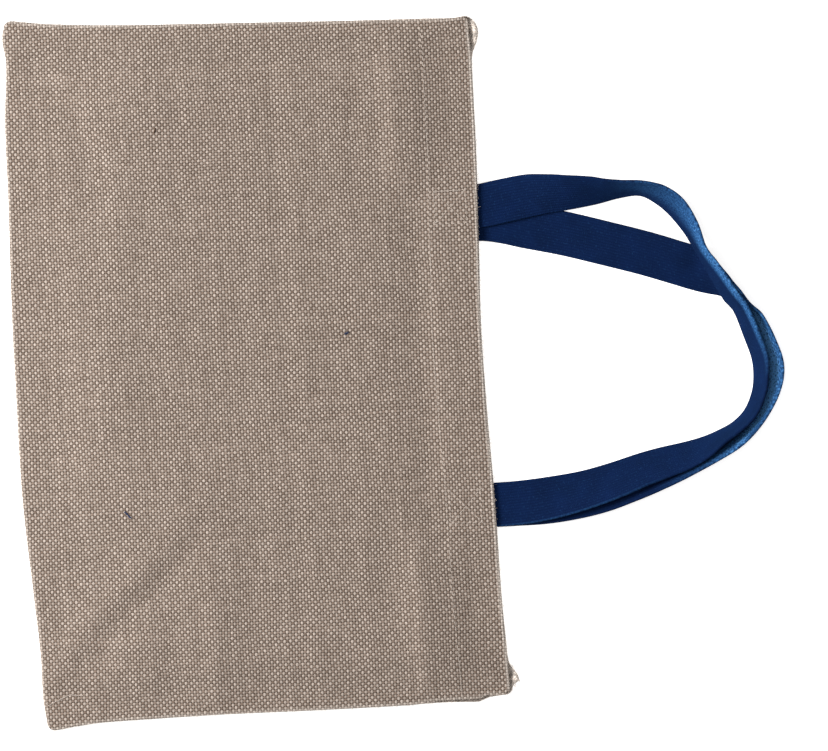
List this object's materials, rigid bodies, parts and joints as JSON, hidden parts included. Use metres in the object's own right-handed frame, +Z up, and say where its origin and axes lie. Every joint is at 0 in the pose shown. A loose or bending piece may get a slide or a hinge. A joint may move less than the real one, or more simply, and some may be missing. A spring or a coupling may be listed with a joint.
{
  "type": "burlap tote bag",
  "caption": "Empty burlap tote bag lying flat, with turned-in side seams, a hemmed open mouth and looped navy webbing handles.",
  "frame": {"origin": "on the surface under the middle of the bag, on the under panel's flat outer face", "axes": "+X from the bottom seam to the mouth and the handles, +Y along the mouth, +Z up from the surface"},
  "size_m": [0.4418, 0.4078, 0.0331],
  "materials": {
    "burlap": "plain-woven jute and cotton, matt",
    "webbing": "ribbed navy cotton webbing, matt with a soft nap"
  },
  "bodies": {
    "root": {"front_panel": "burlap", "back_panel": "burlap", "handle_front": "webbing", "handle_back": "webbing"}
  },
  "joints": []
}
